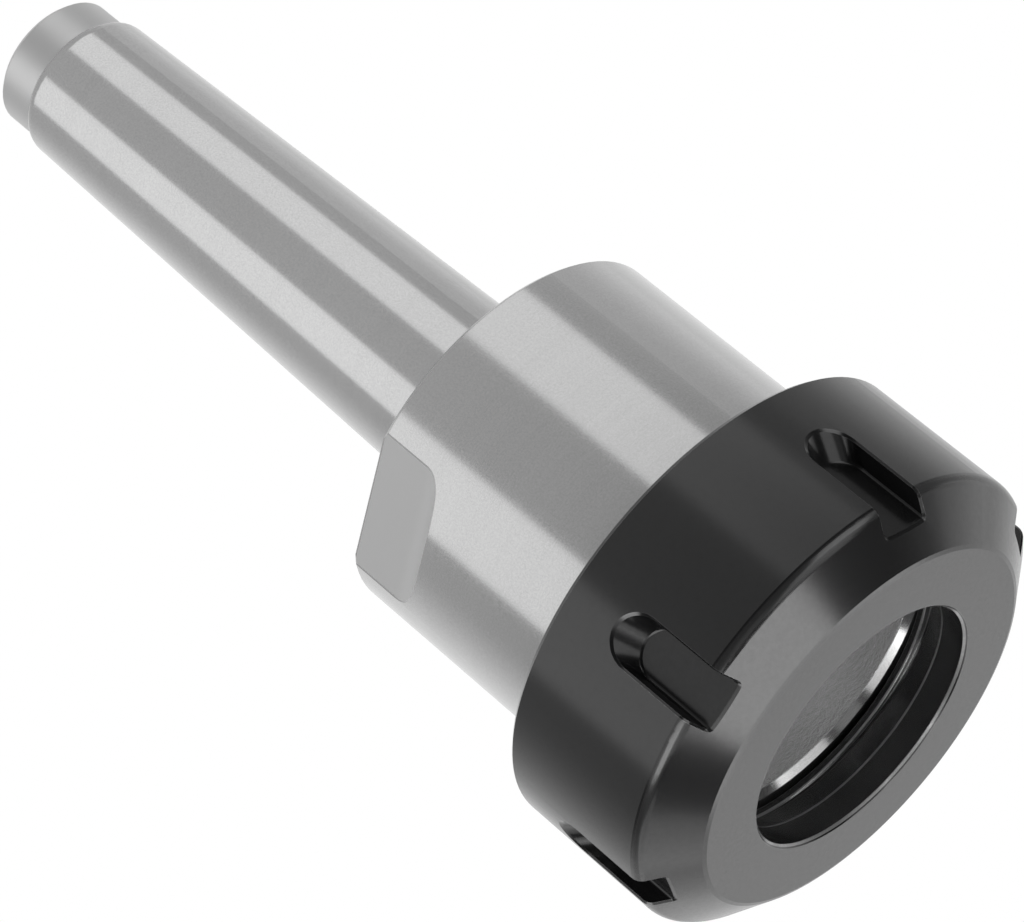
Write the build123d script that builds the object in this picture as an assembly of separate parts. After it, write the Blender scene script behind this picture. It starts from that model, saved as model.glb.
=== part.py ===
from build123d import *
from math import atan2, cos, degrees, hypot, radians, sin, tan
import os

# Collet chuck holder: a taper shank holder for spring collets, with its slotted clamping nut.
# All sizes are in millimetres. +Z runs along the turning axis, from the nut's front face to the
# small end of the shank. The origin is the centre of the nut's front face, on which it stands.
# The wrench flats face -Y and +Y, and one spanner slot of the nut points nearly along +X.

# Thread between the nut and the holder, from which the nut's and the head's widths follow
thread_diameter = 50.0
thread_pitch = 1.5
thread_clearance = 0.08  # radial; both walls stand near the thread's pitch diameter
nut_seat_gap = 0.3  # between the nut's back rim and the holder's shoulder

# Clamping nut, outside: 64 mm across
nut_length = 25.8
nut_wall = 6.5  # outside the thread relief
nut_cone_width = 6.35  # radial width of the front cone around the flat front ring
nut_cone_angle = 53.3  # degrees between the front cone and the axis
nut_face_edge = 0.3  # chamfer between the flat front ring and the front cone
nut_ridge_radius = 1.8  # rounding between the front cone and the outside
nut_back_edge = 0.6  # chamfer at the back rim

# Spanner slots in the nut
slot_count = 6
nut_clocking = -1.3  # degrees from +X to the first slot, where the nut came to rest on its thread
slot_width = 6.5
slot_depth = 2.9  # from the nut's outside to the flat floor
slot_length = 15.35  # from the front face to the far end of the floor
slot_end_lean = 44.0  # degrees that the round end leans back, away from the front face
slot_edge = 0.25  # chamfer where a slot breaks the nut's outside
slot_corner_radius = 0.4  # rounding between a slot's floor and its walls

# Clamping nut, inside, from the front face backwards
front_bore_diameter = 34.1
front_bore_edge = 0.4
front_bore_length = 3.8
clamp_cone_angle = 30.0  # degrees between the cone that presses on the collet and the axis
clamp_cone_length = 3.3
collet_groove_diameter = 40.0
collet_groove_width = 0.9
lip_bore_diameter = 39.0  # off-centre lip that snaps into the collet and pulls it out
lip_offset = 0.65
lip_azimuth = 223.0  # degrees from +X towards +Y: where the lip's bore is shifted to
lip_thickness = 1.0
thread_relief_depth = 0.5  # outside the thread's diameter
thread_relief_length = 3.5
nut_thread_lead = 1.0  # chamfer where the thread starts at the back

# Holder: head, 50.5 mm across
head_length = 50.4  # from its front face to its back face
head_step = 0.25  # of the head's radius over the thread's
nose_length = 15.9  # threaded part, from the front face to the shoulder
nose_chamfer = 2.0  # measured from the thread's outside diameter
shoulder_edge = 0.3
undercut_depth = 1.2  # inside the thread's diameter
undercut_width = 1.8
head_back_edge = 0.5

# Wrench flats at the back of the head: 46 mm across
flat_depth = 2.25
flat_length = 12.35  # from the back face to where the cutter starts to bite
flat_cutter_radius = 5.0  # rounded run-out at the flat's front end

# Collet seat in the head
seat_mouth_diameter = 40.0
seat_mouth_edge = 0.55  # radial width of the chamfer round the seat's mouth
seat_mouth_edge_angle = 30.0  # degrees between that chamfer and the axis
seat_angle = 8.0  # degrees between the seat and the axis
seat_length = 35.0
seat_relief_diameter = 29.0
seat_relief_length = 8.0
seat_relief_corner = 1.5  # chamfer left by the boring tool at the blind end

# Taper shank, number 3: 1 in 19.922 on diameter
shank_gauge_diameter = 23.825
shank_gauge_distance = 5.0  # from the head's back face to the gauge plane
shank_taper = 19.922
shank_length = 86.0  # from the head's back face to the end of the pilot
pilot_length = 6.0
pilot_diameter = 18.4
pilot_edge = 0.8
cone_end_radius = 2.0  # rounds the cone's small end down to the pilot
cone_end_slope = 55.0  # degrees between that rounding's last part and the axis

# Drawbar thread in the shank's small end
drawbar_diameter = 12.0
drawbar_pitch = 1.75
drawbar_thread_length = 28.0
drawbar_drill_diameter = 10.2
drawbar_drill_run_out = 4.0  # plain drilled length past the thread
drawbar_mouth_diameter = 14.0
centre_angle = 30.0  # degrees between the centre's cone and the axis
drill_point_angle = 59.0  # degrees between a drill's tip and the axis

# A 60 degree thread's pitch diameter lies this share of the pitch below its outside diameter
PITCH_LINE_SHARE = 0.6495

# How far cutters reach past the surface that they break through
cutter_overrun = 8.0
# Room for rounding when an edge's place is compared with a size
edge_tolerance = 0.01
# Largest part of the room beside a corner that its rounding may take
fillet_share = 0.95


def pitch_radius(diameter, pitch):
    """Radius of the line on which a thread and its nut bear on each other."""
    return (diameter - PITCH_LINE_SHARE * pitch) / 2


def turned(points, rounded=()):
    """Solid turned about Z from (radius, height) points, with (index, radius) corners rounded."""
    face = make_face(Polyline([(r, 0, z) for r, z in points], close=True)).face()
    for index, radius in rounded:
        corner_r, corner_z = points[index]
        corner = face.vertices().sort_by_distance((corner_r, 0, corner_z))[0]
        face = face.fillet_2d(radius, [corner])
    return revolve(face, axis=Axis.Z)


# Heights along the axis that both pieces share
shoulder_z = nut_length + nut_seat_gap
head_front_z = shoulder_z - nose_length
head_back_z = head_front_z + head_length
holder_end_z = head_back_z + shank_length

# Radii that several cuts start from
bearing_radius = pitch_radius(thread_diameter, thread_pitch)
nut_thread_radius = bearing_radius + thread_clearance / 2
nose_radius = bearing_radius - thread_clearance / 2
nut_relief_radius = thread_diameter / 2 + thread_relief_depth
nut_radius = nut_relief_radius + nut_wall
head_radius = thread_diameter / 2 + head_step
flat_distance = head_radius - flat_depth


def nut_blank():
    """Nut as it leaves the lathe, with a full ring where the off-centre lip will be."""
    cone_length = nut_cone_width / tan(radians(nut_cone_angle))
    bore = front_bore_diameter / 2
    face_ring = nut_radius - nut_cone_width
    cone_angle = radians(nut_cone_angle)
    clamp_end_z = front_bore_length + clamp_cone_length
    clamp_end_r = bore + clamp_cone_length * tan(radians(clamp_cone_angle))
    groove_end_z = clamp_end_z + collet_groove_width
    lip_end_z = groove_end_z + lip_thickness
    lip_ring = lip_bore_diameter / 2 - lip_offset - lip_thickness
    relief_end_z = lip_end_z + thread_relief_length
    points = [
        (bore + front_bore_edge, 0),
        (face_ring - nut_face_edge, 0),
        (face_ring + nut_face_edge * sin(cone_angle), nut_face_edge * cos(cone_angle)),
        (nut_radius, cone_length),
        (nut_radius, nut_length - nut_back_edge),
        (nut_radius - nut_back_edge, nut_length),
        (nut_thread_radius + nut_thread_lead, nut_length),
        (nut_thread_radius, nut_length - nut_thread_lead),
        (nut_thread_radius, relief_end_z),
        (nut_relief_radius, relief_end_z - (nut_relief_radius - nut_thread_radius)),
        (nut_relief_radius, lip_end_z),
        (lip_ring, lip_end_z),
        (lip_ring, groove_end_z),
        (collet_groove_diameter / 2, groove_end_z),
        (collet_groove_diameter / 2, clamp_end_z),
        (clamp_end_r, clamp_end_z),
        (bore, front_bore_length),
        (bore, front_bore_edge),
    ]
    ridge_corner = points.index((nut_radius, cone_length))
    return turned(points, rounded=[(ridge_corner, nut_ridge_radius)])


def lip_cutter():
    """Off-centre bore that turns the full ring into the lip."""
    start = front_bore_length + clamp_cone_length + collet_groove_width
    shift_x = lip_offset * cos(radians(lip_azimuth))
    shift_y = lip_offset * sin(radians(lip_azimuth))
    bore = Cylinder(lip_bore_diameter / 2, lip_thickness, align=(Align.CENTER, Align.CENTER, Align.MIN))
    return Pos(shift_x, shift_y, start) * bore


def slot_cutter(azimuth):
    """One spanner slot: a flat floor with a half-round end that leans back towards the outside."""
    floor_x = nut_radius - slot_depth
    half = slot_width / 2
    straight_end = slot_length - half
    floor = Rectangle(straight_end + cutter_overrun, slot_width, align=(Align.MAX, Align.CENTER))
    floor += Circle(half)
    plane = Plane(origin=(floor_x, 0, straight_end), x_dir=(0, 0, 1), z_dir=(1, 0, 0))
    reach = (slot_depth + half) / cos(radians(slot_end_lean))
    way_out = (cos(radians(slot_end_lean)), 0, sin(radians(slot_end_lean)))
    cutter = extrude(plane * floor, amount=reach, dir=way_out)
    floor_edges = cutter.edges().group_by(Axis.X)[0].sort_by(Axis.Z)
    return Rot(0, 0, azimuth) * fillet(floor_edges[1:], slot_corner_radius)


def on_slot_rim(edge):
    """True for an edge where a slot breaks the nut's outside, beside or behind the slot's floor."""
    slot_pitch = 360 / slot_count
    for share in (0.05, 0.5, 0.95):
        point = edge.position_at(share)
        radius = hypot(point.X, point.Y)
        azimuth = degrees(atan2(point.Y, point.X)) - nut_clocking
        off_slot = radians((azimuth + slot_pitch / 2) % slot_pitch - slot_pitch / 2)
        beside_slot = abs(radius * sin(off_slot)) > slot_width / 2 + edge_tolerance
        on_floor = radius * cos(off_slot) < nut_radius - slot_depth + edge_tolerance
        if beside_slot or on_floor:
            return False
    wall_seam = edge.geom_type == GeomType.LINE and radius < nut_radius - edge_tolerance
    return not wall_seam


def clamping_nut():
    # Half a slot pitch of turn keeps the revolved blank's seam out of the slots
    nut = Rot(0, 0, nut_clocking + 180 / slot_count) * nut_blank() - lip_cutter()
    for index in range(slot_count):
        nut -= slot_cutter(nut_clocking + index * 360 / slot_count)
    return chamfer(nut.edges().filter_by(on_slot_rim), slot_edge)


def shank_radius(distance):
    """Radius of the taper at a distance from the head's back face."""
    return (shank_gauge_diameter + (shank_gauge_distance - distance) / shank_taper) / 2


def seat_radius(depth):
    """Radius of the collet seat at a depth from the head's front face."""
    return seat_mouth_diameter / 2 - depth * tan(radians(seat_angle))


def holder_blank():
    """Holder as it leaves the lathe and the grinder, before its flats are milled."""
    nose_front = thread_diameter / 2 - nose_chamfer
    undercut = thread_diameter / 2 - undercut_depth
    cone_length = shank_length - pilot_length
    cone_end_z = head_back_z + cone_length
    pilot = pilot_diameter / 2
    thread = pitch_radius(drawbar_diameter, drawbar_pitch)
    drill = drawbar_drill_diameter / 2
    mouth = drawbar_mouth_diameter / 2
    thread_top_z = holder_end_z - (mouth - thread) / tan(radians(centre_angle))
    thread_end_z = thread_top_z - drawbar_thread_length
    drill_end_z = thread_end_z - drawbar_drill_run_out
    seat_end_z = head_front_z + seat_length
    relief = seat_relief_diameter / 2
    relief_end_z = seat_end_z + seat_relief_length
    end_drop = shank_radius(cone_length) - pilot
    end_step = end_drop / tan(radians(cone_end_slope))
    end_radius_limit = end_drop / sin(radians(cone_end_slope)) / tan(radians(cone_end_slope) / 2)
    mouth_depth = seat_mouth_edge / tan(radians(seat_mouth_edge_angle))
    points = [
        (seat_radius(mouth_depth) + seat_mouth_edge, head_front_z),
        (nose_front, head_front_z),
        (nose_radius, head_front_z + nose_radius - nose_front),
        (nose_radius, shoulder_z - undercut_width - (nose_radius - undercut)),
        (undercut, shoulder_z - undercut_width),
        (undercut, shoulder_z),
        (head_radius - shoulder_edge, shoulder_z),
        (head_radius, shoulder_z + shoulder_edge),
        (head_radius, head_back_z - head_back_edge),
        (head_radius - head_back_edge, head_back_z),
        (shank_radius(0), head_back_z),
        (shank_radius(cone_length), cone_end_z - end_step),
        (pilot, cone_end_z),
        (pilot, holder_end_z - pilot_edge),
        (pilot - pilot_edge, holder_end_z),
        (mouth, holder_end_z),
        (thread, thread_top_z),
        (thread, thread_end_z),
        (drill, thread_end_z - (thread - drill)),
        (drill, drill_end_z),
        (0, drill_end_z - drill / tan(radians(drill_point_angle))),
        (0, relief_end_z),
        (relief - seat_relief_corner, relief_end_z),
        (relief, relief_end_z - seat_relief_corner),
        (relief, seat_end_z),
        (seat_radius(seat_length), seat_end_z),
        (seat_radius(mouth_depth), head_front_z + mouth_depth),
    ]
    cone_end_corner = points.index((shank_radius(cone_length), cone_end_z - end_step))
    end_radius = min(cone_end_radius, fillet_share * end_radius_limit)
    return turned(points, rounded=[(cone_end_corner, end_radius)])


def flat_cutter():
    """Block with one rounded edge, that mills the flat on the +Y side."""
    height = flat_depth + cutter_overrun
    length = flat_length + cutter_overrun
    block = Box(2 * head_radius, height, length, align=(Align.CENTER, Align.MIN, Align.MIN))
    biting_edge = block.edges().filter_by(Axis.X).sort_by(Axis.Z)[:2].sort_by(Axis.Y)[0]
    block = fillet(biting_edge, flat_cutter_radius)
    return Pos(0, flat_distance, head_back_z - flat_length) * block


def holder_body():
    body = holder_blank()
    cutter = flat_cutter()
    for turn in (0, 180):
        body -= Rot(0, 0, turn) * cutter
    return body


os.makedirs("parts", exist_ok=True)
export_step(clamping_nut(), "parts/clamping_nut.step")
export_step(holder_body(), "parts/holder_body.step")
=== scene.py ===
"""Visual model of a collet chuck holder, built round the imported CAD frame, in metres."""

import logging
from dataclasses import dataclass, field
from enum import Enum
from math import cos, pi, radians, sin, tan
from typing import Any, ClassVar

import bpy
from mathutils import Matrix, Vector


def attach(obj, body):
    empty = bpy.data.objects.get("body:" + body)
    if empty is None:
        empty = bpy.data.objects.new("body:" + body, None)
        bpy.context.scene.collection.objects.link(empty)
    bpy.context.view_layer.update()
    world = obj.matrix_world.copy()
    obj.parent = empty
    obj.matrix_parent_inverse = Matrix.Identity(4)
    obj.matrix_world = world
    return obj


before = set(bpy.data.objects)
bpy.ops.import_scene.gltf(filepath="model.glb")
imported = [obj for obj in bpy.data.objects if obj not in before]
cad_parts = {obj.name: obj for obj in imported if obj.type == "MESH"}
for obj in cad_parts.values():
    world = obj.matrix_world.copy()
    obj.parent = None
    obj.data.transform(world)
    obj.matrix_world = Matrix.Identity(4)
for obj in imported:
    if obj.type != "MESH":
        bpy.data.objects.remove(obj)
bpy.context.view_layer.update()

MM = 0.001
FADE = 0.0001  # metres over which one finish gives way to the next
SHARP_FADE = 0.00005
LOG = logging.getLogger("collet_chuck_holder")


class Slot(Enum):
    """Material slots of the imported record."""

    BLACK_OXIDE = "black_oxide_steel"
    GROUND_STEEL = "ground_steel"


class Body(Enum):
    """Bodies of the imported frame."""

    NUT = "nut"
    HOLDER = "holder"


class Side(Enum):
    """Side of a cylinder on which a thread's ridge stands."""

    OUTSIDE = 1
    INSIDE = -1


class Signal:
    """A number socket of a node tree; Python expressions on it add Math nodes."""

    def __init__(self, graph: "Graph", socket: bpy.types.NodeSocket) -> None:
        """Wraps a socket.

        Args:
            graph: Node tree that the socket belongs to.
            socket: Output socket that carries one number.
        """
        self.graph = graph
        self.socket = socket

    def math(self, operation: str, *others: Any, clamp: bool = False) -> "Signal":
        """Adds a Math node whose first value is this signal.

        Args:
            operation: The Math node's operation.
            others: Numbers or signals for its other inputs.
            clamp: Whether the result is held between 0 and 1.

        Returns:
            The node's result.
        """
        return self.graph.math(operation, self, *others, clamp=clamp)

    def __add__(self, other: Any) -> "Signal":
        """Sum."""
        return self.math("ADD", other)

    __radd__ = __add__

    def __sub__(self, other: Any) -> "Signal":
        """Difference."""
        return self.math("SUBTRACT", other)

    def __rsub__(self, other: Any) -> "Signal":
        """Difference with this signal taken away."""
        return self.graph.math("SUBTRACT", other, self)

    def __mul__(self, other: Any) -> "Signal":
        """Product."""
        return self.math("MULTIPLY", other)

    __rmul__ = __mul__

    def __abs__(self) -> "Signal":
        """Size without sign."""
        return self.math("ABSOLUTE")

    def clamped(self) -> "Signal":
        """The signal held between 0 and 1."""
        return self.math("ADD", 0.0, clamp=True)

    def ramp(self, low: float, high: float) -> "Signal":
        """Smooth step from 0 at low to 1 at high.

        Args:
            low: Value at which the step starts.
            high: Value at which it ends; below low, the step falls.

        Returns:
            The step, from 0 to 1.
        """
        node = self.graph.node(
            "ShaderNodeMapRange",
            {"interpolation_type": "SMOOTHSTEP"},
            {"Value": self, "From Min": min(low, high), "From Max": max(low, high)},
        )
        step = Signal(self.graph, node.outputs["Result"])
        return step if high > low else 1 - step

    def band(self, low: float, high: float, soft: float) -> "Signal":
        """1 between low and high, and 0 outside.

        Args:
            low: Lower end of the band.
            high: Upper end of the band.
            soft: Width of the fade at each end.

        Returns:
            The band's mask.
        """
        half = soft / 2
        return self.ramp(low - half, low + half) * self.ramp(high + half, high - half)


class Graph:
    """Node tree of one material or of the world, emptied and built anew."""

    def __init__(self, tree: bpy.types.NodeTree) -> None:
        """Empties the tree.

        Args:
            tree: Node tree to build in.
        """
        self.tree = tree
        tree.nodes.clear()

    def node(self, kind: str, settings: dict[str, Any] | None = None,
             inputs: dict[Any, Any] | None = None) -> bpy.types.Node:
        """Adds a node.

        Args:
            kind: Type name of the node.
            settings: Attributes, set before anything else.
            inputs: Value, signal or socket for each named or numbered input.

        Returns:
            The new node.
        """
        made = self.tree.nodes.new(kind)
        for name, value in (settings or {}).items():
            setattr(made, name, value)
        for key, value in (inputs or {}).items():
            self.feed(made.inputs[key], value)
        return made

    def feed(self, socket: bpy.types.NodeSocket, value: Any) -> None:
        """Links a signal or socket to an input, or sets the input's own value.

        Args:
            socket: Input socket.
            value: Signal, output socket, number or tuple.
        """
        if isinstance(value, Signal):
            self.tree.links.new(value.socket, socket)
        elif isinstance(value, bpy.types.NodeSocket):
            self.tree.links.new(value, socket)
        else:
            socket.default_value = value

    def math(self, operation: str, *values: Any, clamp: bool = False) -> Signal:
        """Adds a Math node.

        Args:
            operation: The node's operation.
            values: Numbers or signals for its inputs.
            clamp: Whether the result is held between 0 and 1.

        Returns:
            The node's result.
        """
        settings = {"operation": operation, "use_clamp": clamp}
        made = self.node("ShaderNodeMath", settings, dict(enumerate(values)))
        return Signal(self, made.outputs[0])

    def vector_math(self, operation: str, *values: Any) -> bpy.types.Node:
        """Adds a Vector Math node.

        Args:
            operation: The node's operation.
            values: Vectors or sockets for its inputs.

        Returns:
            The node.
        """
        return self.node("ShaderNodeVectorMath", {"operation": operation}, dict(enumerate(values)))

    def mix_colour(self, factor: Any, first: Any, second: Any) -> bpy.types.NodeSocket:
        """Mixes two colours.

        Args:
            factor: 0 for the first colour, 1 for the second.
            first: Colour or socket.
            second: Colour or socket.

        Returns:
            The mixed colour's socket.
        """
        inputs = {0: factor, 6: first, 7: second}
        return self.node("ShaderNodeMix", {"data_type": "RGBA"}, inputs).outputs[2]

    def mix_vector(self, factor: Any, first: Any, second: Any) -> bpy.types.NodeSocket:
        """Mixes two vectors.

        Args:
            factor: 0 for the first vector, 1 for the second.
            first: Vector or socket.
            second: Vector or socket.

        Returns:
            The mixed vector's socket.
        """
        inputs = {0: factor, 4: first, 5: second}
        return self.node("ShaderNodeMix", {"data_type": "VECTOR"}, inputs).outputs[1]

    def coordinates(self) -> bpy.types.NodeSocket:
        """Object coordinates, in metres in the CAD frame at rest."""
        return self.node("ShaderNodeTexCoord").outputs["Object"]

    def noise(self, vector: Any, scale: float, detail: float = 2.0,
              roughness: float = 0.5) -> Signal:
        """Adds a Noise Texture.

        Args:
            vector: Coordinates.
            scale: Cells per metre.
            detail: Number of finer layers.
            roughness: Strength of the finer layers.

        Returns:
            The noise's height, near 0.5 on average.
        """
        inputs = {"Vector": vector, "Scale": scale, "Detail": detail, "Roughness": roughness}
        return Signal(self, self.node("ShaderNodeTexNoise", {}, inputs).outputs[0])

    def bump(self, height: Any, strength: float, distance: float,
             normal: Any = None) -> bpy.types.NodeSocket:
        """Adds a Bump node.

        Args:
            height: Height signal.
            strength: Share of the effect.
            distance: Depth of the relief in metres.
            normal: Normal that it starts from, if not the surface's own.

        Returns:
            The bumped normal's socket.
        """
        inputs = {"Strength": strength, "Distance": distance, "Height": height}
        if normal is not None:
            inputs["Normal"] = normal
        return self.node("ShaderNodeBump", {}, inputs).outputs[0]


@dataclass(frozen=True)
class TurnedCoordinates:
    """Signals that say where a point lies on a turned piece."""

    vector: bpy.types.NodeSocket
    rings: bpy.types.NodeSocket
    x: Signal
    y: Signal
    height: Signal
    radius: Signal

    RING_DRIFT: ClassVar[tuple[float, float, float]] = (0.012, 0.012, 0.012)

    @classmethod
    def of(cls, graph: Graph) -> "TurnedCoordinates":
        """Adds the nodes that work them out.

        Args:
            graph: Node tree of the material.

        Returns:
            The coordinates, in metres.
        """
        vector = graph.coordinates()
        parts = graph.node("ShaderNodeSeparateXYZ", {}, {0: vector})
        x, y, height = (Signal(graph, parts.outputs[index]) for index in range(3))
        radius = (x * x + y * y).math("SQRT")
        slow = graph.vector_math("MULTIPLY", vector, cls.RING_DRIFT).outputs[0]
        fast = graph.node("ShaderNodeCombineXYZ", {}, {0: radius, 1: height, 2: 0.0}).outputs[0]
        rings = graph.vector_math("ADD", slow, fast).outputs[0]
        return cls(vector, rings, x, y, height, radius)


@dataclass(frozen=True)
class GroundSteel:
    """Fine ground tool steel: crisp bands round the axis, with rings left by the wheel."""

    name: str = "ground_steel_finish"
    base: tuple[float, float, float] = (0.635, 0.635, 0.635)
    metallic: float = 0.86
    roughness: float = 0.15
    milled_roughness: float = 0.50
    turned_roughness: float = 0.42
    ring_scale: float = 5200.0
    broad_ring_scale: float = 5200.0 / 12
    ring_depth: float = 0.0000035
    grain_scale: float = 4200.0
    grain_depth: float = 0.000004
    cloud_scale: float = 60.0
    tone_level: float = 0.95
    grain_tone: float = 0.30
    broad_tone: float = 0.06
    cloud_tone: float = 0.06
    ring_gloss: float = 0.08
    grain_gloss: float = 0.10
    bump_strength: float = 0.5
    edge_radius: float = 0.00012
    pilot_start: float = 0.1400
    matt_base: tuple[float, float, float] = (0.72, 0.72, 0.72)
    matt_share: float = 0.9
    seat_roughness: float = 0.24
    # Seat base: partly the seat's own fresher grinding, partly painted light that brightens the dim
    # inside of the bore.
    seat_base_with_painted_light: tuple[float, float, float] = (0.86, 0.86, 0.86)
    seat_span: tuple[float, float] = (0.01115, 0.0532)
    seat_radius: float = 0.0202
    seat_grain_scale: float = 2600.0
    seat_grain_depth: float = 0.00013
    seat_bump_strength: float = 0.7
    deep_start: float = 0.0453
    deep_margin: float = 0.001
    deep_radius: float = 0.0148
    deep_tone: float = 0.12
    deep_roughness: float = 0.6
    flat_span: tuple[float, float] = (0.0475, 0.0604)
    flat_radii: tuple[float, float] = (0.0225, 0.02515)

    def material(self) -> bpy.types.Material:
        """Builds the finish.

        Returns:
            The material.
        """
        material = bpy.data.materials.new(self.name)
        material.use_nodes = True
        graph = Graph(material.node_tree)
        place = TurnedCoordinates.of(graph)
        rings = graph.noise(place.rings, self.ring_scale, detail=3.0, roughness=0.6)
        broad = graph.noise(place.rings, self.broad_ring_scale)
        grain = graph.noise(place.vector, self.grain_scale, roughness=0.6)
        cloud = graph.noise(place.vector, self.cloud_scale, detail=3.0, roughness=0.55)
        tone = (self.tone_level + (grain - 0.5) * self.grain_tone
                + (broad - 0.5) * self.broad_tone + (cloud - 0.5) * self.cloud_tone)
        milled = (place.height.band(*self.flat_span, FADE)
                  * place.radius.band(*self.flat_radii, SHARP_FADE))
        turned = place.height.ramp(self.pilot_start, self.pilot_start + 2 * FADE)
        seat = (place.height.band(*self.seat_span, FADE)
                * place.radius.ramp(self.seat_radius, self.seat_radius - SHARP_FADE))
        deep_end = self.seat_span[1] + self.deep_margin
        deep = (place.height.band(self.deep_start, deep_end, FADE)
                * place.radius.ramp(self.deep_radius, self.deep_radius - FADE))
        coarse = graph.noise(place.vector, self.seat_grain_scale, roughness=0.6) * seat
        rough = (self.roughness + milled * (self.milled_roughness - self.roughness)
                 + turned * (self.turned_roughness - self.roughness)
                 + seat * (self.seat_roughness - self.roughness)
                 + deep * (self.deep_roughness - self.seat_roughness))
        shade = tone.clamped() * (1 - deep * (1 - self.deep_tone))
        colour = graph.mix_colour(shade, (0.0, 0.0, 0.0, 1.0), (*self.base, 1.0))
        matt = (milled + turned).clamped() * self.matt_share
        colour = graph.mix_colour(matt, colour, (*self.matt_base, 1.0))
        # Painted light: the collet seat takes a brighter base than the rest of the steel, partly
        # for its fresher grinding.
        colour = graph.mix_colour(seat * (1 - deep), colour, (*self.seat_base_with_painted_light, 1.0))
        roughness = rough + (rings - 0.5) * self.ring_gloss + (grain - 0.5) * self.grain_gloss
        rounded = graph.node("ShaderNodeBevel", {"samples": 4}, {"Radius": self.edge_radius})
        normal = graph.bump(rings, self.bump_strength, self.ring_depth, rounded.outputs[0])
        normal = graph.bump(grain, self.bump_strength, self.grain_depth, normal)
        normal = graph.bump(coarse, self.seat_bump_strength, self.seat_grain_depth, normal)
        shader = graph.node("ShaderNodeBsdfPrincipled", {}, {
            "Base Color": colour, "Metallic": self.metallic, "Roughness": roughness,
            "Normal": normal})
        graph.node("ShaderNodeOutputMaterial", {}, {"Surface": shader.outputs[0]})
        return material


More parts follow.
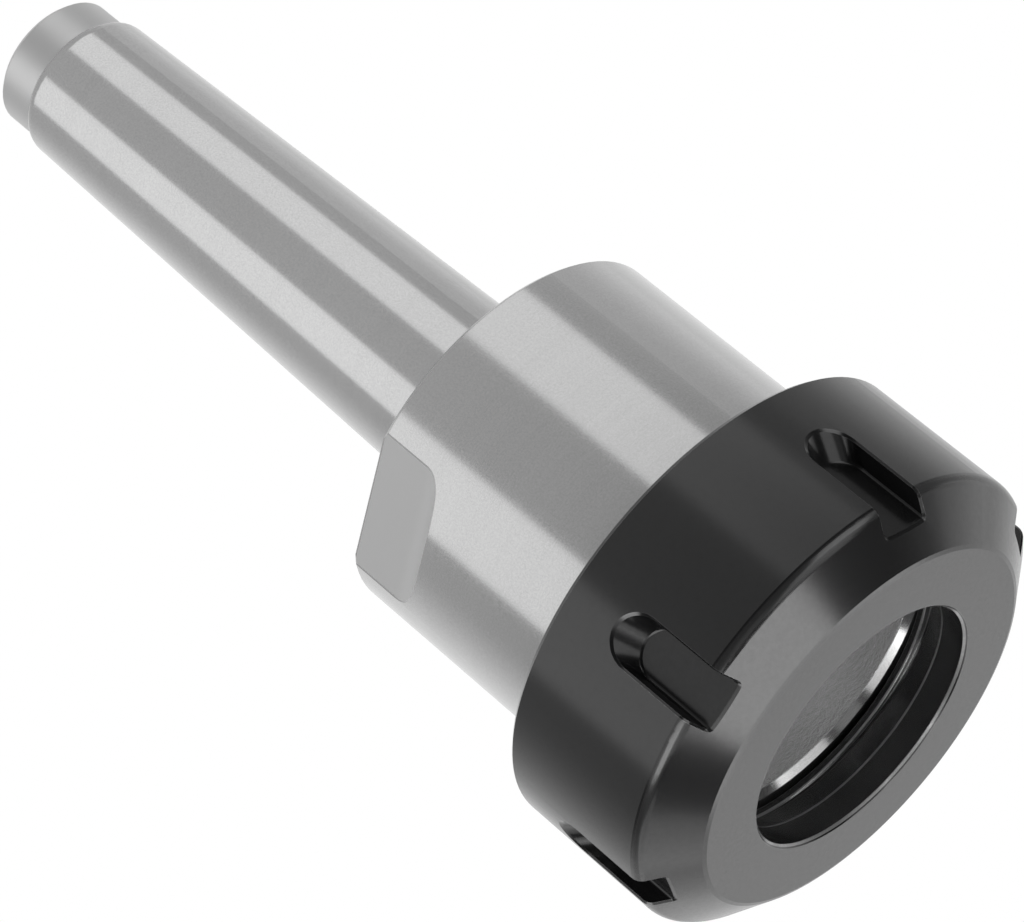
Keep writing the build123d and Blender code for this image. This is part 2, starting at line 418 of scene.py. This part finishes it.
@dataclass(frozen=True)
class BlackOxide:
    """Oiled black oxide on turned steel: nearly black, with a satin shine, worn bright on edges."""

    name: str = "black_oxide_finish"
    base: tuple[float, float, float] = (0.007, 0.007, 0.0073)
    bare: tuple[float, float, float] = (0.60, 0.60, 0.60)
    bare_roughness: float = 0.2
    roughness: float = 0.50
    ior: float = 1.15
    oil: float = 0.9
    slot_oil: float = 0.55
    outside_oil: float = 1.0
    oil_roughness: float = 0.19
    oil_ior: float = 1.70
    mottle_scale: float = 1700.0
    mottle_depth: float = 0.000018
    peel_scale: float = 2100.0
    peel_depth: float = 0.00006
    peel_radius: float = 0.0319
    grain_scale: float = 5200.0
    grain_depth: float = 0.000006
    edge_radius: float = 0.00014
    cloud_scale: float = 90.0
    tone_level: float = 0.55
    mottle_tone: float = 0.5
    cloud_tone: float = 0.3
    mottle_gloss: float = 0.12
    grain_gloss: float = 0.08
    grain_strength: float = 0.6
    mottle_strength: float = 0.5
    oil_level: float = 0.85
    oil_mottle: float = 0.3
    bare_gain: float = 2.5
    edge_match: tuple[float, float] = (0.97, 0.85)
    edge_level: float = 0.55
    edge_mottle: float = 0.9
    edge_wear: float = 0.40
    ridge_wear: float = 0.03
    ridge_span: tuple[float, float] = (0.0045, 0.0054)
    ridge_radius: float = 0.0312
    bore_edge_wear: float = 0.32
    bore_edge_radii: tuple[float, float] = (0.01700, 0.01728)
    bore_edge_depth: float = 0.00045
    bore_edge_fade: float = 0.00004
    bore_level: float = 0.3
    bore_mottle: float = 1.4
    lip_wear: float = 0.6
    lip_edge_span: tuple[float, float] = (0.0079, 0.0083)
    lip_edge_radius: float = 0.00035
    lip_span: tuple[float, float] = (0.0079, 0.0091)
    lip_radius: float = 0.0202
    clamp_edge_wear: float = 0.35
    clamp_edge_span: tuple[float, float] = (0.0037, 0.0040)
    clamp_edge_radius: float = 0.0173
    slot_clocking: float = -1.3
    slot_pitch: float = 60.0
    slot_half_width: float = 0.0033
    slot_radii: tuple[float, float] = (0.02905, 0.03194)
    slot_end: float = 0.0187
    floor_distance: float = 0.0292

    def material(self) -> bpy.types.Material:
        """Builds the finish.

        Returns:
            The material.
        """
        material = bpy.data.materials.new(self.name)
        material.use_nodes = True
        graph = Graph(material.node_tree)
        place = TurnedCoordinates.of(graph)
        mottle = graph.noise(place.vector, self.mottle_scale, detail=3.0, roughness=0.6)
        grain = graph.noise(place.vector, self.grain_scale, roughness=0.6)
        cloud = graph.noise(place.vector, self.cloud_scale)
        slot = self._slot_mask(place)
        outside = place.radius.ramp(self.peel_radius, self.peel_radius + SHARP_FADE)
        lip = (place.height.band(*self.lip_span, FADE)
               * place.radius.ramp(self.lip_radius + FADE, self.lip_radius))
        true_normal = graph.node("ShaderNodeNewGeometry").outputs["Normal"]
        worn = self._worn(graph, place, mottle, slot, lip, true_normal)
        tone = (self.tone_level + mottle * self.mottle_tone
                + (cloud - 0.5) * self.cloud_tone).clamped()
        dark = graph.mix_colour(tone, (0.0, 0.0, 0.0, 1.0), (*self.base, 1.0))
        colour = graph.mix_colour(worn, dark, (*self.bare, 1.0))
        bare = (worn * self.bare_gain).clamped()
        roughness = (self.roughness + bare * (self.bare_roughness - self.roughness)
                     + (mottle - 0.5) * self.mottle_gloss + (grain - 0.5) * self.grain_gloss)
        peel = graph.noise(place.vector, self.peel_scale) * outside
        lip_rounded = graph.node("ShaderNodeBevel", {"samples": 8},
                                 {"Radius": self.lip_edge_radius})
        normal = graph.mix_vector(lip, true_normal, lip_rounded.outputs[0])
        normal = graph.bump(grain, self.grain_strength, self.grain_depth, normal)
        normal = graph.bump(mottle, self.mottle_strength, self.mottle_depth, normal)
        normal = graph.bump(peel, self.mottle_strength, self.peel_depth, normal)
        floor = slot * self._out_from_middle(place).ramp(
            self.floor_distance + FADE, self.floor_distance)
        patches = self.oil_level + mottle * self.oil_mottle
        oil = ((self.oil + outside * (self.outside_oil - self.oil)
                + floor * (self.slot_oil - self.oil)) * patches).clamped()
        shader = graph.node("ShaderNodeBsdfPrincipled", {}, {
            "Base Color": colour, "Metallic": worn, "Roughness": roughness, "IOR": self.ior,
            "Normal": normal, "Coat Weight": oil, "Coat Roughness": self.oil_roughness,
            "Coat IOR": self.oil_ior})
        graph.node("ShaderNodeOutputMaterial", {}, {"Surface": shader.outputs[0]})
        return material

    def _worn(self, graph: Graph, place: TurnedCoordinates, mottle: Signal, slot: Signal,
              lip: Signal, true_normal: bpy.types.NodeSocket) -> Signal:
        """Marks the edges where the oxide is rubbed off.

        Args:
            graph: Node tree of the material.
            place: Coordinates on the nut.
            mottle: Noise that breaks the wear up.
            slot: Mask of the spanner slots.
            lip: Mask of the extractor lip.
            true_normal: The surface's own normal.

        Returns:
            0 for whole oxide, 1 for bare steel.
        """
        rounded = graph.node("ShaderNodeBevel", {"samples": 6}, {"Radius": self.edge_radius})
        match = graph.vector_math("DOT_PRODUCT", rounded.outputs[0], true_normal)
        edge = (Signal(graph, match.outputs["Value"]).ramp(*self.edge_match)
                * (self.edge_level + mottle * self.edge_mottle))
        ridge = (place.height.band(*self.ridge_span, 3 * FADE)
                 * place.radius.ramp(self.ridge_radius, self.ridge_radius + 2 * FADE))
        bore_edge = (place.radius.band(*self.bore_edge_radii, self.bore_edge_fade)
                     * place.height.ramp(self.bore_edge_depth + SHARP_FADE, self.bore_edge_depth)
                     * (self.bore_level + mottle * self.bore_mottle))
        lip_edge = lip * place.height.band(*self.lip_edge_span, FADE)
        clamp_edge = (place.height.band(*self.clamp_edge_span, FADE)
                      * place.radius.ramp(self.clamp_edge_radius + FADE, self.clamp_edge_radius))
        return (edge * self.edge_wear + ridge * self.ridge_wear * (1 - slot)
                + bore_edge * self.bore_edge_wear + lip_edge * self.lip_wear
                + clamp_edge * self.clamp_edge_wear).clamped()

    def _off_slot(self, place: TurnedCoordinates) -> Signal:
        """Angle from the middle of the nearest slot.

        Args:
            place: Coordinates on the nut.

        Returns:
            The angle in radians.
        """
        pitch = radians(self.slot_pitch)
        turned = place.y.math("ARCTAN2", place.x) + (pitch / 2 - radians(self.slot_clocking))
        return turned.math("FLOORED_MODULO", pitch) - pitch / 2

    def _out_from_middle(self, place: TurnedCoordinates) -> Signal:
        """Distance from the axis, measured along the middle line of the nearest slot.

        Args:
            place: Coordinates on the nut.

        Returns:
            The distance in metres.
        """
        return place.radius * self._off_slot(place).math("COSINE")

    def _slot_mask(self, place: TurnedCoordinates) -> Signal:
        """Marks the inside of the spanner slots.

        Args:
            place: Coordinates on the nut.

        Returns:
            1 inside a slot, 0 elsewhere.
        """
        across = abs(place.radius * self._off_slot(place).math("SINE"))
        out = self._out_from_middle(place)
        low, high = self.slot_radii
        half = self.slot_half_width
        return (across.ramp(half + SHARP_FADE, half - SHARP_FADE)
                * out.ramp(low, low + SHARP_FADE) * place.radius.ramp(high, high - SHARP_FADE)
                * place.height.ramp(self.slot_end, self.slot_end - FADE))


@dataclass(frozen=True)
class PaleFloor:
    """White floor that takes the part's shadow from above and is clear from below."""

    name: str = "pale_floor_finish"
    base: float = 0.62
    glow: float = 0.42
    fade_start: float = 0.45
    fade_end: float = 1.6

    def material(self) -> bpy.types.Material:
        """Builds the finish.

        Returns:
            The material.
        """
        material = bpy.data.materials.new(self.name)
        material.use_nodes = True
        graph = Graph(material.node_tree)
        place = TurnedCoordinates.of(graph)
        path = graph.node("ShaderNodeLightPath")
        from_above = 1 - Signal(graph, graph.node("ShaderNodeNewGeometry").outputs["Backfacing"])
        seen = Signal(graph, path.outputs["Is Camera Ray"]) * from_above
        shown = seen * place.radius.ramp(self.fade_end, self.fade_start)
        matt = graph.node("ShaderNodeBsdfDiffuse", {}, {"Color": (self.base,) * 3 + (1.0,)})
        glow = graph.node("ShaderNodeEmission", {}, {"Strength": self.glow})
        lit = graph.node("ShaderNodeAddShader", {}, {0: matt.outputs[0], 1: glow.outputs[0]})
        clear = graph.node("ShaderNodeBsdfTransparent")
        surface = graph.node("ShaderNodeMixShader", {}, {
            0: shown, 1: clear.outputs[0], 2: lit.outputs[0]})
        graph.node("ShaderNodeOutputMaterial", {}, {"Surface": surface.outputs[0]})
        return material


@dataclass(frozen=True)
class ThreadRidge:
    """Helical ridge of a right-hand 60 degree thread, standing on a cylinder of the CAD."""

    name: str
    body: Body
    slot: Slot
    side: Side
    foot_radius: float
    crest_radius: float
    pitch: float
    low: float
    high: float
    steps: int = 96
    sink: float = 0.0002
    crest_share: float = 1 / 16
    flank_angle: float = 30.0
    fade_turns: float = 0.25

    def build(self, material: bpy.types.Material) -> bpy.types.Object:
        """Builds the ridge, fading at both ends, and makes it ride on its body.

        Args:
            material: Finish of the ridge.

        Returns:
            The ridge's object.
        """
        height = abs(self.crest_radius - self.foot_radius)
        crest_half = self.pitch * self.crest_share
        foot_half = crest_half + height * tan(radians(self.flank_angle))
        turns = (self.high - self.low - 2 * foot_half) / self.pitch
        count = int(turns * self.steps) + 1
        fade_steps = self.steps * self.fade_turns
        sink_radius = self.foot_radius - self.side.value * self.sink
        vertices: list[tuple[float, float, float]] = []
        for index in range(count + 1):
            turn = index / self.steps
            fade = min(1.0, index / fade_steps, (count - index) / fade_steps)
            crest = self.foot_radius + (self.crest_radius - self.foot_radius) * fade
            middle = self.low + foot_half + turn * self.pitch
            angle = 2 * pi * turn
            for radius, offset in ((sink_radius, -foot_half), (self.foot_radius, -foot_half),
                                   (crest, -crest_half), (crest, crest_half),
                                   (self.foot_radius, foot_half), (sink_radius, foot_half)):
                vertices.append((radius * cos(angle), radius * sin(angle), middle + offset))
        faces: list[tuple[int, ...]] = []
        ring = 6
        for index in range(count):
            for side in range(ring):
                first = index * ring + side
                second = index * ring + (side + 1) % ring
                quad = (first, second, second + ring, first + ring)
                faces.append(quad if self.side is Side.OUTSIDE else quad[::-1])
        start = tuple(range(ring))
        end = tuple(count * ring + side for side in range(ring))
        faces.append(start[::-1] if self.side is Side.OUTSIDE else start)
        faces.append(end if self.side is Side.OUTSIDE else end[::-1])
        mesh = bpy.data.meshes.new(self.name)
        mesh.from_pydata(vertices, [], faces)
        mesh.materials.append(material)
        ridge = bpy.data.objects.new(self.name, mesh)
        bpy.context.scene.collection.objects.link(ridge)
        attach(ridge, self.body.value)
        return ridge


@dataclass
class Holder:
    """Holder body: the CAD's solid in ground steel, with its nose and drawbar threads."""

    node: str = "holder_body"
    finish: GroundSteel = field(default_factory=GroundSteel)
    nose: ThreadRidge = ThreadRidge(
        "nose_thread", Body.HOLDER, Slot.GROUND_STEEL, Side.OUTSIDE,
        foot_radius=24.473 * MM, crest_radius=24.96 * MM, pitch=1.5 * MM,
        low=11.7 * MM, high=23.6 * MM)
    drawbar: ThreadRidge = ThreadRidge(
        "drawbar_thread_ridge", Body.HOLDER, Slot.GROUND_STEEL, Side.INSIDE,
        foot_radius=5.4317 * MM, crest_radius=5.06 * MM, pitch=1.75 * MM,
        low=115.9 * MM, high=143.85 * MM, steps=48)

    def build(self) -> list[bpy.types.Object]:
        """Dresses the CAD node and adds the threads.

        Returns:
            The holder's objects.
        """
        steel = self.finish.material()
        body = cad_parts[self.node]
        dress(body, steel)
        return [body, self.nose.build(steel), self.drawbar.build(steel)]


@dataclass
class ClampingNut:
    """Clamping nut: the CAD's solid in black oxide, with its inside thread."""

    node: str = "clamping_nut"
    finish: BlackOxide = field(default_factory=BlackOxide)
    thread: ThreadRidge = ThreadRidge(
        "nut_thread", Body.NUT, Slot.BLACK_OXIDE, Side.INSIDE,
        foot_radius=24.553 * MM, crest_radius=24.1 * MM, pitch=1.5 * MM,
        low=12.55 * MM, high=24.75 * MM)

    def build(self) -> list[bpy.types.Object]:
        """Dresses the CAD node and adds the thread.

        Returns:
            The nut's objects.
        """
        oxide = self.finish.material()
        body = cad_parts[self.node]
        dress(body, oxide)
        return [body, self.thread.build(oxide)]


def dress(node: bpy.types.Object, material: bpy.types.Material) -> None:
    """Puts a finish on every material slot of a CAD node.

    Args:
        node: Object of the CAD node.
        material: Finish.
    """
    for index in range(max(1, len(node.material_slots))):
        if index < len(node.material_slots):
            node.material_slots[index].material = material
        else:
            node.data.materials.append(material)


def direction(azimuth: float, elevation: float) -> tuple[float, float, float]:
    """Works out a direction from the part.

    Args:
        azimuth: Degrees from +X towards +Y.
        elevation: Degrees above the floor.

    Returns:
        The unit vector.
    """
    turn, rise = radians(azimuth), radians(elevation)
    return cos(turn) * cos(rise), sin(turn) * cos(rise), sin(rise)


@dataclass(frozen=True)
class Softbox:
    """Rectangular studio lamp, equally bright all over its face."""

    name: str
    azimuth: float
    elevation: float
    distance: float
    width: float
    height: float
    radiance: float
    upright: bool = False
    target: tuple[float, float, float] = (0.0, 0.0, 0.06)

    def build(self) -> bpy.types.Object:
        """Adds the lamp.

        Returns:
            The lamp's object.
        """
        outward = Vector(direction(self.azimuth, self.elevation))
        lamp = bpy.data.lights.new(self.name, "AREA")
        lamp.shape = "RECTANGLE"
        lamp.size = self.width
        lamp.size_y = self.height
        lamp.energy = self.radiance * pi * self.width * self.height
        made = bpy.data.objects.new(self.name, lamp)
        made.location = Vector(self.target) + outward * self.distance
        facing = Vector(direction(self.azimuth, 0.0)) if self.upright else outward
        made.rotation_euler = facing.to_track_quat("Z", "Y").to_euler()
        made.visible_camera = False
        bpy.context.scene.collection.objects.link(made)
        return made


@dataclass(frozen=True)
class Studio:
    """White backdrop, pale floor, soft lamps and the photograph's camera."""

    dim_low: float = 0.03
    dim_high: float = 0.505
    dim_low_sine: float = 0.26
    dim_high_sine: float = 0.515
    backdrop_level: float = 0.90
    backdrop_share: float = 0.8
    backdrop_azimuth: float = 137.0
    backdrop_elevation: float = 2.0
    white_angle: float = 12.0
    dim_angle: float = 84.0
    floor_half: float = 2.0
    floor_drop: float = 0.05 * MM
    lens: float = 168.04
    sensor: float = 36.0
    camera_place: tuple[float, float, float] = (0.360867, -0.365526, -0.210574)
    camera_turn: tuple[float, float, float, float] = (
        0.5177243, 0.5765811, 0.6315883, -0.0247389)
    lamps: tuple[Softbox, ...] = (
        Softbox("left_softbox", -95.9, 12.8, 1.6, 1.345, 2.83, 0.63, upright=True),
        Softbox("top_softbox", 3.9, 37.7, 1.971, 1.255, 1.13, 0.56, upright=True),
        Softbox("right_fill", 65.9, 25.0, 1.6, 1.25, 2.3, 0.10, upright=True),
        Softbox("left_low_strip", -104.0, -17.0, 1.5, 0.75, 0.75, 2.6),
        Softbox("right_low_strip", 10.0, -17.0, 1.5, 0.8, 0.75, 1.5),
        Softbox("axis_lamp", -140.0, -86.5, 0.9, 0.55, 0.66, 3.6),
        Softbox("left_ring_lamp", -93.0, -46.0, 1.3, 0.85, 0.85, 0.85),
        Softbox("right_ring_lamp", 4.0, -46.0, 1.3, 0.90, 0.85, 0.85),
        Softbox("low_front_fill", -45.0, -42.0, 1.3, 0.45, 0.7, 0.2),
        Softbox("face_edge_lamp", 134.0, -58.0, 1.3, 0.8, 0.8, 1.8),
        Softbox("under_lamp", 138.0, -30.0, 1.3, 1.3, 1.3, 0.1),
        Softbox("low_left_lamp", -162.0, -31.0, 1.3, 0.8, 0.7, 0.65),
        Softbox("low_right_lamp", 84.0, -24.0, 1.3, 0.7, 0.6, 0.35),
    )

    def build(self) -> None:
        """Adds the world, the floor, the lamps and the camera."""
        bpy.context.scene.view_settings.view_transform = "Standard"
        self._world()
        self._floor()
        for lamp in self.lamps:
            lamp.build()
        self._camera()

    def _world(self) -> None:
        """Makes the backdrop white to the camera and in reflections, and the room behind it dim."""
        world = bpy.data.worlds.new("studio_world")
        bpy.context.scene.world = world
        world.use_nodes = True
        graph = Graph(world.node_tree)
        towards = direction(self.backdrop_azimuth, self.backdrop_elevation)
        way = graph.node("ShaderNodeTexCoord").outputs["Generated"]
        unit = graph.vector_math("NORMALIZE", way).outputs[0]
        near = Signal(graph, graph.vector_math("DOT_PRODUCT", unit, towards).outputs["Value"])
        backdrop = near.ramp(cos(radians(self.dim_angle)), cos(radians(self.white_angle)))
        path = graph.node("ShaderNodeLightPath")
        camera = Signal(graph, path.outputs["Is Camera Ray"])
        glossy = Signal(graph, path.outputs["Is Glossy Ray"])
        clear = Signal(graph, path.outputs["Is Transmission Ray"])
        sine = graph.node("ShaderNodeSeparateXYZ", {}, {0: unit}).outputs[2]
        rise = Signal(graph, sine).ramp(self.dim_low_sine, self.dim_high_sine)
        dim = self.dim_low + (self.dim_high - self.dim_low) * rise
        shown = (glossy + clear).clamped().math("MAXIMUM", self.backdrop_share)
        level = dim + (self.backdrop_level - dim) * backdrop * shown
        strength = camera + (1 - camera) * level
        background = graph.node("ShaderNodeBackground", {}, {
            "Color": (1.0, 1.0, 1.0, 1.0), "Strength": strength})
        graph.node("ShaderNodeOutputWorld", {}, {"Surface": background.outputs[0]})

    def _floor(self) -> None:
        """Adds the floor just under the part."""
        half = self.floor_half
        mesh = bpy.data.meshes.new("floor")
        mesh.from_pydata([(-half, -half, 0), (half, -half, 0), (half, half, 0), (-half, half, 0)],
                         [], [(0, 1, 2, 3)])
        mesh.materials.append(PaleFloor().material())
        floor = bpy.data.objects.new("floor", mesh)
        floor.location.z = -self.floor_drop
        bpy.context.scene.collection.objects.link(floor)

    def _camera(self) -> None:
        """Adds the camera at the photograph's viewing angle."""
        lens = bpy.data.cameras.new("photo_camera")
        lens.lens = self.lens
        lens.sensor_width = self.sensor
        lens.sensor_fit = "HORIZONTAL"
        lens.clip_start = 0.01
        camera = bpy.data.objects.new("photo_camera", lens)
        camera.location = self.camera_place
        camera.rotation_mode = "QUATERNION"
        camera.rotation_quaternion = self.camera_turn
        bpy.context.scene.collection.objects.link(camera)
        bpy.context.scene.camera = camera


def main() -> None:
    """Builds the studio and the part."""
    logging.basicConfig(level=logging.INFO, format="%(message)s")
    Studio().build()
    for assembly in (Holder(), ClampingNut()):
        for piece in assembly.build():
            LOG.info("%s: %d faces", piece.name, len(piece.data.polygons))


if __name__ == "__main__":
    main()
